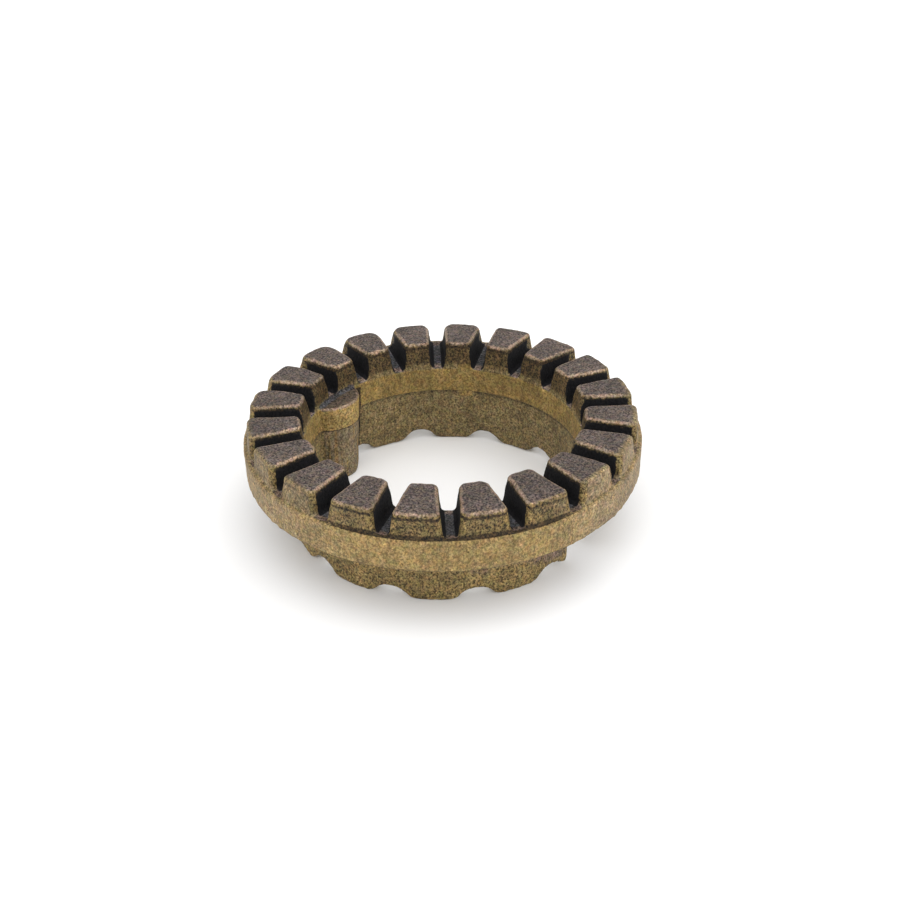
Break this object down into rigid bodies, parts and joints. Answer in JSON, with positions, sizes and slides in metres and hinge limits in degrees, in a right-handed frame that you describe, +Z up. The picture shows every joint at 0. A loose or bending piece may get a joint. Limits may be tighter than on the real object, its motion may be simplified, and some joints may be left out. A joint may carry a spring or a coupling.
{
  "type": "gas burner ring",
  "caption": "Cast brass ring for a gas burner: a crown of teeth with flame slots between them, a plain flange, and a notched skirt with a boss inside the bore.",
  "frame": {"origin": "middle of the ring, on the plane that the feet of the skirt stand on", "axes": "+Z up through the crown of teeth; -X through the boss inside the bore; +X through the gap that parts the skirt"},
  "size_m": [0.055, 0.055, 0.0169],
  "materials": {
    "burner_brass": "matte, as cast"
  },
  "bodies": {
    "root": {"burner_ring": "burner_brass"}
  },
  "joints": []
}
